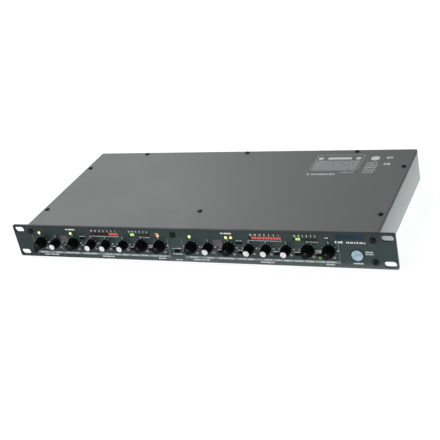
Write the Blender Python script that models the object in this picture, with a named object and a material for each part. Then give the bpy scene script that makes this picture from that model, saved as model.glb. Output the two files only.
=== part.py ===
"""Two-channel rack compressor, one rack unit high.

Frame: the origin is the bottom centre of the bounding box, +X is to the right seen from the front,
+Y runs to the back and +Z is up. Blender units are metres; sizes are written in millimetres times MM.
"""

import math

import bmesh
import bpy
from mathutils import Matrix, Vector

MM = 0.001

# ---------------------------------------------------------------- driving dimensions
CLEAR = 0.3 * MM  # running and assembly clearance between neighbouring pieces

PANEL_WIDTH = 482.6 * MM  # 19-inch rack
PANEL_HEIGHT = 44.0 * MM  # one rack unit, less the gap to the next one
PANEL_THICK = 3.0 * MM
PANEL_CORNER = 2.0 * MM
RACK_SLOT_X = 232.55 * MM
RACK_SLOT_PITCH_Z = 31.75 * MM
RACK_SLOT = (13.5 * MM, 7.0 * MM)

CASE_WIDTH = 443.4 * MM
CASE_BACK = 206.0 * MM  # panel front to the case's rear face
CASE_BOTTOM_Z = 1.6 * MM
COVER_TOP_Z = 42.4 * MM
SHEET = 1.2 * MM
COVER_THICK = 1.5 * MM
CASE_LIP = 13.0 * MM
FRONT_FLANGE = 9.5 * MM

BIG_KNOB = {"base": 7.4 * MM, "tip": 4.7 * MM, "height": 12.4 * MM}
SMALL_KNOB = {"base": 5.8 * MM, "tip": 4.6 * MM, "height": 12.2 * MM}
KNOB_GAP = 0.5 * MM
SPINDLE_R = 3.0 * MM
SPINDLE_REACH = 9.0 * MM  # behind the panel's front face
REAR_PROUD = 4.5 * MM  # the jacks' threaded noses, behind the case

# The bounding box is centred on Y, so the panel's front face stands at a minus value.
PANEL_Y = (BIG_KNOB["height"] - CASE_BACK - REAR_PROUD) / 2
PANEL_BACK_Y = PANEL_Y + PANEL_THICK
CASE_REAR_Y = PANEL_Y + CASE_BACK
CASE_TOP_Z = COVER_TOP_Z - COVER_THICK - CLEAR

# ---------------------------------------------------------------- control layout
KNOB_Z = 21.1 * MM
LED_Z = 34.2 * MM
METER_Z = 34.6 * MM
CHANNEL_PITCH = 206.0 * MM
CHANNEL_X = {1: -204.0 * MM, 2: -204.0 * MM + CHANNEL_PITCH}
# Offsets from the channel's first knob.
KNOBS = (
    ("expander_threshold", 0.0, BIG_KNOB),
    ("expander_ratio", 21.5 * MM, SMALL_KNOB),
    ("compressor_threshold", 46.8 * MM, BIG_KNOB),
    ("compressor_ratio", 72.0 * MM, SMALL_KNOB),
    ("compressor_attack", 92.3 * MM, SMALL_KNOB),
    ("compressor_release", 116.0 * MM, SMALL_KNOB),
    ("output_gain", 141.0 * MM, BIG_KNOB),
    ("limiter_threshold", 164.8 * MM, BIG_KNOB),
)
BUTTONS = (
    ("sidechain_monitor", 36.2 * MM, 15.3 * MM),
    ("soft_knee", 60.8 * MM, 28.4 * MM),
    ("sidechain_enable", 60.8 * MM, 15.3 * MM),
    ("auto_timing", 104.2 * MM, 15.3 * MM),
    ("meter_select", 128.2 * MM, 15.3 * MM),
    ("bypass", 153.2 * MM, 15.9 * MM),
)
LEDS = (
    (-0.3 * MM, LED_Z),
    (45.3 * MM, LED_Z),
    (51.5 * MM, LED_Z),
    (164.8 * MM, LED_Z),
    (153.2 * MM, 11.6 * MM),
)
METERS = (("gain_meter", 92.5 * MM, 38.5 * MM), ("level_meter", 139.5 * MM, 28.0 * MM))
LINK_BUTTON = (-17.8 * MM, 14.7 * MM)

BUTTON = (6.0 * MM, 2.6 * MM)
BUTTON_PROUD = 1.9 * MM
BUTTON_REACH = 6.0 * MM
BUTTON_TRAVEL = 1.4 * MM
SWITCH = (7.2 * MM, 5.2 * MM)
LED_R = 1.5 * MM
LED_PROUD = 1.0 * MM
METER_HEIGHT = 3.4 * MM

SIDE_SCREW_X = 216.6 * MM
PANEL_SCREWS = {
    "left_upper": (-SIDE_SCREW_X, 35.3 * MM),
    "left_lower": (-SIDE_SCREW_X, 8.5 * MM),
    "centre": (-19.6 * MM, 35.7 * MM),
    "right_upper": (SIDE_SCREW_X, 35.3 * MM),
    "right_lower": (SIDE_SCREW_X, 8.5 * MM),
}
PANEL_SCREW = {"head": 3.5 * MM, "tall": 2.2 * MM, "shank": 1.5 * MM, "long": 8.0 * MM}

# Cover screws: X, and the distance behind the panel's front face.
COVER_SCREWS = {
    "rear_left": (-148.0 * MM, 201.0 * MM),
    "rear_centre": (0.0, 201.0 * MM),
    "rear_right": (148.0 * MM, 201.0 * MM),
    "left_rear": (-215.5 * MM, 159.0 * MM),
    "left_front": (-215.5 * MM, 43.5 * MM),
    "right_rear": (215.5 * MM, 159.0 * MM),
    "right_front": (215.5 * MM, 43.5 * MM),
    "centre_front": (-2.0 * MM, 45.0 * MM),
}
COVER_SCREW = {"head": 3.0 * MM, "tall": 1.7 * MM, "shank": 1.5 * MM, "long": 7.0 * MM}
SCREW_HOLE_R = 1.9 * MM
PILLAR_R = 4.0 * MM
PILLAR_THREAD = 12.0 * MM

# ---------------------------------------------------------------- boards and transformer
BOARD_THICK = 1.6 * MM
CONTROL_BOARD_Y = PANEL_Y + 12.0 * MM
CONTROL_BOARD_Z = (5.0 * MM, 38.8 * MM)
CONTROL_BOARD_X = (-212.0 * MM, 178.0 * MM)
POT = (12.0 * MM, 12.5 * MM)
POT_FRONT_Y = PANEL_Y + 4.5 * MM

MAIN_BOARD_X = (-206.0 * MM, 96.0 * MM)
MAIN_BOARD_Y = (PANEL_Y + 54.0 * MM, PANEL_Y + 176.0 * MM)
MAIN_BOARD_Z = 8.0 * MM
HEAT_SINK = (40.0 * MM, 3.0 * MM, 24.0 * MM)
HEADER = (50.0 * MM, 5.0 * MM, 9.0 * MM)

TRANSFORMER_AT = (150.0 * MM, PANEL_Y + 100.0 * MM)
TRANSFORMER = {"outer": 40.0 * MM, "bore": 12.0 * MM, "tall": 33.0 * MM}

# ---------------------------------------------------------------- rear connectors
REAR_Z = 22.0 * MM
XLR_X = {("in", 1): -104.0 * MM, ("out", 1): -66.0 * MM, ("in", 2): 40.0 * MM, ("out", 2): 78.0 * MM}
JACK_X = {1: -136.0 * MM, 2: 8.0 * MM}
XLR_FLANGE = (26.0 * MM, 31.0 * MM, 3.0 * MM)
XLR_BODY_R = 11.5 * MM
XLR_BORE_R = 9.6 * MM
XLR_DEPTH = 20.0 * MM
XLR_FLOOR = 4.0 * MM
XLR_CONTACT_R = 5.0 * MM
SOCKET_HOLE_R = 12.0 * MM
JACK_PLATE = 1.6 * MM
JACK_NUT = {"radius": 8.0 * MM, "top": 3.9 * MM}
JACK_BODY = {"half": 8.0 * MM, "deep": 25.5 * MM}
JACK_NOSE_R = 5.6 * MM
JACK_BORE = {"radius": 3.3 * MM, "deep": 21.5 * MM}

INLET_X = 166.0 * MM
INLET_BEZEL = (50.0 * MM, 30.0 * MM, 2.5 * MM)
INLET_BODY = (46.0 * MM, 25.6 * MM, 27.0 * MM)
# Recesses: centre from the module's own, size, and depth from its face.
INLET_SOCKET = {"at": (-9.0 * MM, 0.0), "size": (24.6 * MM, 16.6 * MM), "deep": 17.0 * MM}
INLET_SWITCH = {"at": (13.2 * MM, 0.0), "size": (13.6 * MM, 21.0 * MM), "deep": 14.0 * MM}
BLADE = (2.0 * MM, 4.0 * MM)
BLADE_SHORT = 4.0 * MM  # a blade's tip, in from the module's face
ROCKER_AXIS_DEEP = 4.3 * MM
ROCKER_RISE = 3.0 * MM
ROCKER_TILT = math.radians(9.0)

# ---------------------------------------------------------------- materials: colour, roughness, metallic
FINISHES = {
    "panel_paint": ((0.045, 0.062, 0.060), 0.55, 0.0),
    "cover_paint": ((0.17, 0.175, 0.175), 0.6, 0.0),
    "zinc_plate": ((0.55, 0.60, 0.60), 0.4, 0.8),
    "black_plastic": ((0.012, 0.013, 0.014), 0.45, 0.0),
    "black_steel": ((0.02, 0.02, 0.022), 0.4, 0.6),
    "circuit_board": ((0.03, 0.16, 0.07), 0.5, 0.0),
    "winding": ((0.55, 0.35, 0.08), 0.5, 0.0),
    "meter_lens": ((0.12, 0.01, 0.01), 0.3, 0.0),
}


def material(slot):
    """The material of one slot, made on first use."""
    found = bpy.data.materials.get(slot)
    if found:
        return found
    colour, roughness, metallic = FINISHES[slot]
    made = bpy.data.materials.new(slot)
    made.use_nodes = True
    shader = made.node_tree.nodes["Principled BSDF"]
    shader.inputs["Base Color"].default_value = (*colour, 1.0)
    shader.inputs["Roughness"].default_value = roughness
    shader.inputs["Metallic"].default_value = metallic
    return made


# ---------------------------------------------------------------- mesh tools
def mesh_of(bm):
    """The bmesh as a mesh whose faces point out."""
    bmesh.ops.remove_doubles(bm, verts=bm.verts, dist=1e-7)
    bmesh.ops.recalc_face_normals(bm, faces=bm.faces)
    mesh = bpy.data.meshes.new("shape")
    bm.to_mesh(mesh)
    bm.free()
    return mesh


def box(low, high):
    """A box between two corners."""
    low, high = Vector(low), Vector(high)
    bm = bmesh.new()
    place = Matrix.Translation((low + high) / 2) @ Matrix.Diagonal((*(high - low), 1.0))
    bmesh.ops.create_cube(bm, size=1.0, matrix=place)
    return mesh_of(bm)


def circle(x, z, radius, steps=16):
    """A round outline in the XZ plane."""
    turns = (2 * math.pi * i / steps for i in range(steps))
    return [(x + radius * math.cos(t), z + radius * math.sin(t)) for t in turns]


def rounded(x, z, width, height, radius, steps=4):
    """A rectangle with round corners in the XZ plane; a slot where the radius is half the height."""
    points = []
    for corner, (sx, sz) in enumerate(((1, 1), (-1, 1), (-1, -1), (1, -1))):
        cx = x + sx * (width / 2 - radius)
        cz = z + sz * (height / 2 - radius)
        for i in range(steps + 1):
            t = math.pi / 2 * (corner + i / steps)
            points.append((cx + radius * math.cos(t), cz + radius * math.sin(t)))
    return points


def rectangle(x, z, width, height):
    """A sharp rectangle in the XZ plane."""
    w, h = width / 2, height / 2
    return [(x + w, z + h), (x - w, z + h), (x - w, z - h), (x + w, z - h)]


def plate(outlines, front_y, back_y):
    """The first outline, less the others, as a plate standing in the XZ plane."""
    bm = bmesh.new()
    edges = []
    for outline in outlines:
        ring = [bm.verts.new((x, front_y, z)) for x, z in outline]
        edges += [bm.edges.new((a, b)) for a, b in zip(ring, ring[1:] + ring[:1])]
    bmesh.ops.triangle_fill(bm, edges=edges, use_beauty=True)
    grown = bmesh.ops.extrude_face_region(bm, geom=bm.faces[:])["geom"]
    moved = [v for v in grown if isinstance(v, bmesh.types.BMVert)]
    bmesh.ops.translate(bm, verts=moved, vec=(0, back_y - front_y, 0))
    return mesh_of(bm)


def turned(profile, steps=16, centre=(0, 0, 0), axis="Y"):
    """A round shape: the profile's (radius, place along the axis) points, spun about that axis."""
    bm = bmesh.new()
    verts = [bm.verts.new((r, along, 0)) for r, along in profile]
    edges = [bm.edges.new(pair) for pair in zip(verts, verts[1:])]
    if min(profile[0][0], profile[-1][0]) > 0:  # a ring, whose profile closes on itself
        edges.append(bm.edges.new((verts[-1], verts[0])))
    turn = {"axis": (0, 1, 0), "cent": (0, 0, 0), "angle": 2 * math.pi}
    bmesh.ops.spin(bm, geom=verts + edges, steps=steps, use_merge=True, **turn)
    bmesh.ops.remove_doubles(bm, verts=bm.verts, dist=1e-7)
    if axis == "Z":
        bmesh.ops.rotate(bm, verts=bm.verts, matrix=Matrix.Rotation(math.pi / 2, 3, "X"))
    bmesh.ops.translate(bm, verts=bm.verts, vec=centre)
    return mesh_of(bm)


def cylinder(x, z, radius, front_y, back_y, steps=16):
    """A round bar along Y."""
    return turned([(0, front_y), (radius, front_y), (radius, back_y), (0, back_y)], steps, (x, 0, z))


def post(x, y, radius, low, high, steps=10):
    """A round bar along Z."""
    return turned([(0, low), (radius, low), (radius, high), (0, high)], steps, (x, y, 0), "Z")


def gathered(meshes):
    """Meshes that don't touch each other as one mesh, for a single Boolean."""
    bm = bmesh.new()
    for mesh in meshes:
        bm.from_mesh(mesh)
        bpy.data.meshes.remove(mesh)
    return mesh_of(bm)


def boolean(mesh, others, operation):
    """The mesh joined with, or cut by, other meshes."""
    body = bpy.data.objects.new("body", mesh)
    tool = bpy.data.objects.new("tool", others)
    for helper in (body, tool):
        bpy.context.scene.collection.objects.link(helper)
    modifier = body.modifiers.new("shape", "BOOLEAN")
    modifier.solver = "EXACT"
    modifier.operation = operation
    modifier.object = tool
    graph = bpy.context.evaluated_depsgraph_get()
    made = bpy.data.meshes.new_from_object(body.evaluated_get(graph))
    for helper in (body, tool):
        bpy.data.objects.remove(helper)
    return made


def joined(mesh, *others):
    for other in others:
        mesh = boolean(mesh, other, "UNION")
    return mesh


def cut(mesh, *others):
    for other in others:
        mesh = boolean(mesh, other, "DIFFERENCE")
    return mesh


def place(name, mesh, slot, parent=None):
    """A named object of that mesh; a moving one is parented to the empty on its joint's axis."""
    mesh.name = name
    mesh.materials.clear()
    mesh.materials.append(material(slot))
    made = bpy.data.objects.new(name, mesh)
    bpy.context.scene.collection.objects.link(made)
    if parent:
        made.parent = parent
    return made


def smooth(obj, degrees=40):
    obj.data.shade_smooth()
    obj.data.set_sharp_from_angle(angle=math.radians(degrees))


def axis_empty(name, at):
    """An empty on a joint's axis, which carries the moving piece."""
    empty = bpy.data.objects.new(name, None)
    empty.empty_display_size = 5 * MM
    empty.location = at
    bpy.context.scene.collection.objects.link(empty)
    return empty


# ---------------------------------------------------------------- shells
def front_panel():
    """The 19-inch aluminium panel with its rack slots, spindle holes, windows and screw holes."""
    middle = PANEL_HEIGHT / 2
    outlines = [rounded(0, middle, PANEL_WIDTH, PANEL_HEIGHT, PANEL_CORNER)]
    for side in (-1, 1):
        for up in (-1, 1):
            length, width = RACK_SLOT
            z = middle + up * RACK_SLOT_PITCH_Z / 2
            outlines.append(rounded(side * RACK_SLOT_X, z, length, width, width / 2 - 1e-5, 5))
    for x, z in PANEL_SCREWS.values():
        outlines.append(circle(x, z, SCREW_HOLE_R, 10))
    for left in CHANNEL_X.values():
        for _, offset, _ in KNOBS:
            outlines.append(circle(left + offset, KNOB_Z, SPINDLE_R + 1.0 * MM, 14))
        for offset, z in LEDS:
            outlines.append(circle(left + offset, z, LED_R + CLEAR, 10))
        for _, offset, width in METERS:
            outlines.append(rectangle(left + offset, METER_Z, width, METER_HEIGHT))
    for _, x, z in button_places():
        outlines.append(rectangle(x, z, BUTTON[0] + 2 * CLEAR, BUTTON[1] + 2 * CLEAR))
    place("front_panel", plate(outlines, PANEL_Y, PANEL_BACK_Y), "panel_paint")


def chassis_tray():
    """Folded tray: floor, sides with inward lips, front flanges and the rear wall with its cut-outs."""
    half = CASE_WIDTH / 2
    front = PANEL_BACK_Y + CLEAR
    past = 5 * MM
    shell = box((-half, front, CASE_BOTTOM_Z), (half, CASE_REAR_Y, CASE_TOP_Z))
    hollow = box(
        (SHEET - half, front + SHEET, CASE_BOTTOM_Z + SHEET),
        (half - SHEET, CASE_REAR_Y - SHEET, CASE_TOP_Z - SHEET),
    )
    top_window = box(
        (CASE_LIP - half, front - past, CASE_TOP_Z - 2 * SHEET),
        (half - CASE_LIP, CASE_REAR_Y - CASE_LIP, CASE_TOP_Z + past),
    )
    front_window = box(
        (FRONT_FLANGE - half, front - past, CASE_BOTTOM_Z + SHEET),
        (half - FRONT_FLANGE, front + past, CASE_TOP_Z + past),
    )
    shell = cut(shell, hollow, top_window, front_window)

    rear = (CASE_REAR_Y - 2 * SHEET, CASE_REAR_Y + past)
    sockets = [*XLR_X.values(), *JACK_X.values()]
    holes = [cylinder(x, REAR_Z, SOCKET_HOLE_R, *rear, steps=20) for x in sockets]
    width, height, _ = INLET_BODY
    holes.append(
        box(
            (INLET_X - width / 2 - CLEAR, rear[0], REAR_Z - height / 2 - CLEAR),
            (INLET_X + width / 2 + CLEAR, rear[1], REAR_Z + height / 2 + CLEAR),
        )
    )
    flange = (front - past, front + 2 * SHEET)
    for name, (x, z) in PANEL_SCREWS.items():
        if name != "centre":
            holes.append(cylinder(x, z, SCREW_HOLE_R, *flange, steps=10))
    for name, (x, back) in COVER_SCREWS.items():
        if name != "centre_front":
            holes.append(post(x, PANEL_Y + back, SCREW_HOLE_R, CASE_TOP_Z - 2 * SHEET, CASE_TOP_Z + past))
    shell = cut(shell, gathered(holes))

    # The pillar under the cover's centre screw, pressed into the floor.
    x, back = COVER_SCREWS["centre_front"]
    y = PANEL_Y + back
    pillar = post(x, y, PILLAR_R, CASE_BOTTOM_Z + SHEET / 2, CASE_TOP_Z)
    thread = post(x, y, SCREW_HOLE_R, CASE_TOP_Z - PILLAR_THREAD, CASE_TOP_Z + past)
    shell = joined(shell, cut(pillar, thread))
    place("chassis_tray", shell, "zinc_plate")


def top_cover():
    """Flat steel lid with its eight screw holes."""
    half = CASE_WIDTH / 2
    lid = box(
        (-half, PANEL_BACK_Y + CLEAR, COVER_TOP_Z - COVER_THICK),
        (half, CASE_REAR_Y, COVER_TOP_Z),
    )
    span = (COVER_TOP_Z - 2 * COVER_THICK, COVER_TOP_Z + COVER_THICK)
    holes = [post(x, PANEL_Y + back, SCREW_HOLE_R, *span) for x, back in COVER_SCREWS.values()]
    place("top_cover", cut(lid, gathered(holes)), "cover_paint")


def screw_profile(size, seat):
    """A pan-head screw as (radius, place) points: its head stands before the seat, its shank runs past."""
    head, tall = size["head"], size["tall"]
    socket = 0.45 * head
    return [
        (0, seat - 0.45 * tall),
        (socket, seat - 0.45 * tall),
        (socket, seat - tall),
        (0.75 * head, seat - tall),
        (head, seat - 0.4 * tall),
        (head, seat),
        (size["shank"], seat),
        (size["shank"], seat + size["long"]),
        (0, seat + size["long"]),
    ]


def screws():
    """Five panel screws, along Y, and eight cover screws, along Z."""
    for name, (x, z) in PANEL_SCREWS.items():
        profile = screw_profile(PANEL_SCREW, PANEL_Y - CLEAR)
        smooth(place(f"panel_screw_{name}", turned(profile, 10, (x, 0, z)), "black_steel"))
    for name, (x, back) in COVER_SCREWS.items():
        # The profile runs down from the head, so its places are counted upwards from the cover's top.
        down = screw_profile(COVER_SCREW, 0.0)
        profile = [(r, COVER_TOP_Z + CLEAR - along) for r, along in down]
        made = turned(profile, 10, (x, PANEL_Y + back, 0), "Z")
        smooth(place(f"cover_screw_{name}", made, "black_steel"))


# ---------------------------------------------------------------- controls
def knobs():
    """Sixteen knobs, each moulded round its pot's spindle, turning about Y."""
    for channel, left in CHANNEL_X.items():
        for name, offset, size in KNOBS:
            pivot = axis_empty(f"axis_ch{channel}_{name}", (left + offset, PANEL_Y, KNOB_Z))
            height, base, tip = size["height"], size["base"], size["tip"]
            profile = [
                (0, -height),
                (tip - 0.6 * MM, -height),
                (tip, -height + 0.6 * MM),
                (base, -3.2 * MM),
                (base, -KNOB_GAP),
                (SPINDLE_R, -KNOB_GAP),
                (SPINDLE_R, SPINDLE_REACH),
                (0, SPINDLE_REACH),
            ]
            smooth(place(f"ch{channel}_{name}_knob", turned(profile, 16), "black_plastic", pivot))


def button_places():
    """Each push button's name, X and Z."""
    places = [
        (f"ch{channel}_{name}", left + offset, z)
        for channel, left in CHANNEL_X.items()
        for name, offset, z in BUTTONS
    ]
    return places + [("stereo_link", *LINK_BUTTON)]


def buttons():
    """Thirteen push buttons that slide in along +Y."""
    for name, x, z in button_places():
        pivot = axis_empty(f"axis_{name}", (x, PANEL_Y, z))
        cap = plate([rounded(0, 0, *BUTTON, 0.5 * MM, 2)], -BUTTON_PROUD, BUTTON_REACH)
        place(f"{name}_button", cap, "black_plastic", pivot)


def meters():
    """LED bar meters: a nose in the panel's window and a wider body behind the panel."""
    half = METER_HEIGHT / 2
    for channel, left in CHANNEL_X.items():
        for name, offset, width in METERS:
            x0, x1 = left + offset - width / 2, left + offset + width / 2
            nose = box(
                (x0 + CLEAR, PANEL_Y + CLEAR, METER_Z - half + CLEAR),
                (x1 - CLEAR, PANEL_Y + 2 * PANEL_THICK, METER_Z + half - CLEAR),
            )
            body = box(
                (x0 - 1 * MM, PANEL_BACK_Y + CLEAR, METER_Z - half - 1 * MM),
                (x1 + 1 * MM, CONTROL_BOARD_Y - CLEAR, METER_Z + half + 1 * MM),
            )
            place(f"ch{channel}_{name}", joined(body, nose), "meter_lens")


def control_board():
    """The upright board behind the panel, with its soldered pots, switches and LEDs."""
    (x0, x1), (z0, z1) = CONTROL_BOARD_X, CONTROL_BOARD_Z
    board = box((x0, CONTROL_BOARD_Y, z0), (x1, CONTROL_BOARD_Y + BOARD_THICK, z1))
    # Soldered parts sink a little into the board, so that they join it.
    back = CONTROL_BOARD_Y + 0.5 * MM
    parts, bores = [], []

    def block(x, z, size, front):
        w, h = size[0] / 2, size[1] / 2
        parts.append(box((x - w, front, z - h), (x + w, back, z + h)))

    for left in CHANNEL_X.values():
        for _, offset, _ in KNOBS:
            block(left + offset, KNOB_Z, POT, POT_FRONT_Y)
            end = PANEL_Y + SPINDLE_REACH + CLEAR
            bores.append(cylinder(left + offset, KNOB_Z, SPINDLE_R + CLEAR, POT_FRONT_Y - 1 * MM, end, 12))
        for offset, z in LEDS:
            lamp = [(0, PANEL_Y - LED_PROUD), (0.6 * LED_R, PANEL_Y - 0.8 * LED_PROUD), (LED_R, PANEL_Y)]
            lamp += [(LED_R, back), (0, back)]
            parts.append(turned(lamp, 10, (left + offset, 0, z)))
    for _, x, z in button_places():
        block(x, z, SWITCH, PANEL_Y + BUTTON_REACH + BUTTON_TRAVEL + CLEAR)

    x, z = PANEL_SCREWS["centre"]
    parts.append(cylinder(x, z, 3.2 * MM, PANEL_BACK_Y + CLEAR, back, 8))
    bores.append(cylinder(x, z, SCREW_HOLE_R, PANEL_Y, PANEL_Y + PANEL_SCREW["long"] + CLEAR, 8))
    place("control_board", cut(joined(board, gathered(parts)), gathered(bores)), "circuit_board")


# ---------------------------------------------------------------- inside
def main_board():
    """The audio and supply board on its pillars, with capacitors, chips, a heat sink and headers."""
    x0, x1 = MAIN_BOARD_X
    y0, y1 = MAIN_BOARD_Y
    board = box((x0, y0, MAIN_BOARD_Z), (x1, y1, MAIN_BOARD_Z + BOARD_THICK))
    foot = MAIN_BOARD_Z + BOARD_THICK - 0.5 * MM
    parts = []

    def block(x, y, size):
        parts.append(box((x, y, foot), (x + size[0], y + size[1], foot + size[2])))

    for i in range(4):  # supply reservoir capacitors beside the transformer
        parts.append(post(x1 - 12 * MM, y0 + (16 + 22 * i) * MM, 8 * MM, foot, foot + 24 * MM))
    for row_x in (x0 + 40 * MM, x0 + 165 * MM):  # each channel's coupling capacitors and chips
        for i in range(4):
            x = row_x + 22 * i * MM
            parts.append(post(x, y0 + 18 * MM, 4 * MM, foot, foot + 11 * MM))
            block(x - 5 * MM, y0 + 46 * MM, (10 * MM, 7 * MM, 4 * MM))
    block(x1 - 62 * MM, y1 - 12 * MM, HEAT_SINK)
    for header_x in (x0 + 70 * MM, x1 - 90 * MM):
        block(header_x, y0 + 1 * MM, HEADER)
    floor = CASE_BOTTOM_Z + SHEET + CLEAR
    for x in (x0 + 6 * MM, x1 - 6 * MM):
        for y in (y0 + 6 * MM, y1 - 6 * MM):
            parts.append(post(x, y, 2.5 * MM, floor, MAIN_BOARD_Z + 0.5 * MM, 6))
    place("main_board", joined(board, gathered(parts)), "circuit_board")


def transformer():
    """Toroidal mains transformer standing on the floor."""
    outer, bore, tall = TRANSFORMER["outer"], TRANSFORMER["bore"], TRANSFORMER["tall"]
    low = CASE_BOTTOM_Z + SHEET + CLEAR
    soft = 6 * MM
    ring = [
        (bore, low + soft / 2),
        (bore + soft / 2, low),
        (outer - soft, low),
        (outer, low + soft),
        (outer, low + tall - soft),
        (outer - soft, low + tall),
        (bore + soft / 2, low + tall),
        (bore, low + tall - soft / 2),
    ]
    smooth(place("toroidal_transformer", turned(ring, 24, (*TRANSFORMER_AT, 0), "Z"), "winding"))


# ---------------------------------------------------------------- rear connectors
def xlr_contacts(x, radius, near, far, steps=8):
    """Three bars on the connector's contact circle."""
    turns = [math.radians(a) for a in (210, 330, 90)]
    at = [(x + XLR_CONTACT_R * math.cos(t), REAR_Z + XLR_CONTACT_R * math.sin(t)) for t in turns]
    return gathered([cylinder(cx, cz, radius, near, far, steps) for cx, cz in at])


def xlr_sockets():
    """Female inputs, without a latch, and male outputs with three pins."""
    width, height, thick = XLR_FLANGE
    seat = CASE_REAR_Y + CLEAR
    face = seat + thick
    end = face - XLR_DEPTH - XLR_FLOOR
    for (way, channel), x in XLR_X.items():
        flange = plate([rounded(x, REAR_Z, width, height, 3 * MM, 3)], seat, face)
        shell = cylinder(x, REAR_Z, XLR_BODY_R, end, seat + thick / 2, 20)
        bore = cylinder(x, REAR_Z, XLR_BORE_R, end + XLR_FLOOR, face + 1 * MM, 20)
        body = cut(joined(flange, shell), bore)
        if way == "out":
            body = joined(body, xlr_contacts(x, 1.2 * MM, end + XLR_FLOOR / 2, face - 7 * MM))
        else:
            insert = cylinder(x, REAR_Z, 6.8 * MM, end + XLR_FLOOR / 2, face - 1 * MM, 16)
            holes = xlr_contacts(x, 1.4 * MM, face - 10 * MM, face + 1 * MM)
            body = cut(joined(body, insert), holes)
        place(f"ch{channel}_xlr_{way}put", body, "black_steel")


def sidechain_jacks():
    """Quarter-inch jack sockets on plates of the XLR size: a box inside, a threaded nose and its nut outside."""
    width, height, _ = XLR_FLANGE
    seat = CASE_REAR_Y + CLEAR
    half, inside = JACK_BODY["half"], CASE_REAR_Y - JACK_BODY["deep"]
    past = 1 * MM
    for channel, x in JACK_X.items():
        flange = plate([rounded(x, REAR_Z, width, height, 3 * MM, 3)], seat, seat + JACK_PLATE)
        body = box((x - half, inside, REAR_Z - half), (x + half, seat + JACK_PLATE / 2, REAR_Z + half))
        nut = cylinder(x, REAR_Z, JACK_NUT["radius"], seat + JACK_PLATE / 2, CASE_REAR_Y + JACK_NUT["top"], 6)
        nose = cylinder(x, REAR_Z, JACK_NOSE_R, seat, CASE_REAR_Y + REAR_PROUD, 16)
        bore_end = CASE_REAR_Y - JACK_BORE["deep"]
        bore = cylinder(x, REAR_Z, JACK_BORE["radius"], bore_end, CASE_REAR_Y + REAR_PROUD + past, 14)
        made = cut(joined(flange, body, nut, nose), bore)
        place(f"ch{channel}_sidechain_jack", made, "black_plastic")


def inlet_recess(part):
    """One of the mains inlet's recesses, open to the back."""
    (dx, dz), (w, h) = part["at"], part["size"]
    face = CASE_REAR_Y + CLEAR + INLET_BEZEL[2]
    x, z = INLET_X + dx, REAR_Z + dz
    return box((x - w / 2, face - part["deep"], z - h / 2), (x + w / 2, face + 2 * MM, z + h / 2))


def mains_inlet():
    """Snap-in mains module: the appliance inlet and the well of the power switch."""
    seat = CASE_REAR_Y + CLEAR
    face = seat + INLET_BEZEL[2]
    bezel = plate([rounded(INLET_X, REAR_Z, *INLET_BEZEL[:2], 2 * MM, 3)], seat, face)
    w, h, deep = INLET_BODY
    low = (INLET_X - w / 2, CASE_REAR_Y - deep, REAR_Z - h / 2)
    body = box(low, (INLET_X + w / 2, seat + INLET_BEZEL[2] / 2, REAR_Z + h / 2))
    module = cut(joined(bezel, body), gathered([inlet_recess(INLET_SOCKET), inlet_recess(INLET_SWITCH)]))

    # Two blades below and the earth blade above.
    cx, cz = INLET_X + INLET_SOCKET["at"][0], REAR_Z + INLET_SOCKET["at"][1]
    floor = face - INLET_SOCKET["deep"]
    blades = []
    for dx, dz in ((-7 * MM, -2 * MM), (7 * MM, -2 * MM), (0, 2 * MM)):
        low = (cx + dx - BLADE[0] / 2, floor - 1 * MM, cz + dz - BLADE[1] / 2)
        blades.append(box(low, (low[0] + BLADE[0], face - BLADE_SHORT, low[2] + BLADE[1])))
    place("mains_inlet", joined(module, gathered(blades)), "black_plastic")


def power_rocker():
    """The rocker of the power switch, on an axis along X inside the inlet's switch recess."""
    width, height = INLET_SWITCH["size"]
    face = CASE_REAR_Y + CLEAR + INLET_BEZEL[2]
    pivot = axis_empty(
        "axis_power_rocker",
        (INLET_X + INLET_SWITCH["at"][0], face - ROCKER_AXIS_DEEP, REAR_Z),
    )
    # Seen from the side: two faces that meet in a shallow V over the axis, and a tapered back.
    reach = height / 2 - 1.3 * MM
    edge = ROCKER_RISE + reach * math.tan(ROCKER_TILT)
    waist = reach - 1.0 * MM
    outline = [(edge, -reach), (ROCKER_RISE, 0), (edge, reach)]
    outline += [(-1.5 * MM, waist), (-5.0 * MM, 0), (-1.5 * MM, -waist)]
    side = width / 2 - 0.4 * MM
    bm = bmesh.new()
    flank = bm.faces.new([bm.verts.new((-side, y, z)) for y, z in outline])
    grown = bmesh.ops.extrude_face_region(bm, geom=[flank])["geom"]
    moved = [v for v in grown if isinstance(v, bmesh.types.BMVert)]
    bmesh.ops.translate(bm, verts=moved, vec=(2 * side, 0, 0))
    # At rest the upper half is pressed in: the power is off.
    bmesh.ops.rotate(bm, verts=bm.verts, matrix=Matrix.Rotation(ROCKER_TILT, 3, "X"))
    place("power_rocker", mesh_of(bm), "black_plastic", pivot)


def main():
    for old in list(bpy.data.objects):
        bpy.data.objects.remove(old)
    front_panel()
    chassis_tray()
    top_cover()
    screws()
    knobs()
    buttons()
    meters()
    control_board()
    main_board()
    transformer()
    xlr_sockets()
    sidechain_jacks()
    mains_inlet()
    power_rocker()


main()
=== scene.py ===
"""Looks of the two-channel rack compressor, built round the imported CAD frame.

The frame has its origin at the bottom centre of the box, +X to the right seen from the front, +Y to the
back and +Z up. Lengths are written in millimetres times MM. A piece is built in a local frame whose +Z
points out of the face that it stands on: the front panel, the cover or the rear wall.
"""

import math
import random

import bmesh
import bpy
from mathutils import Matrix, Vector


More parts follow.
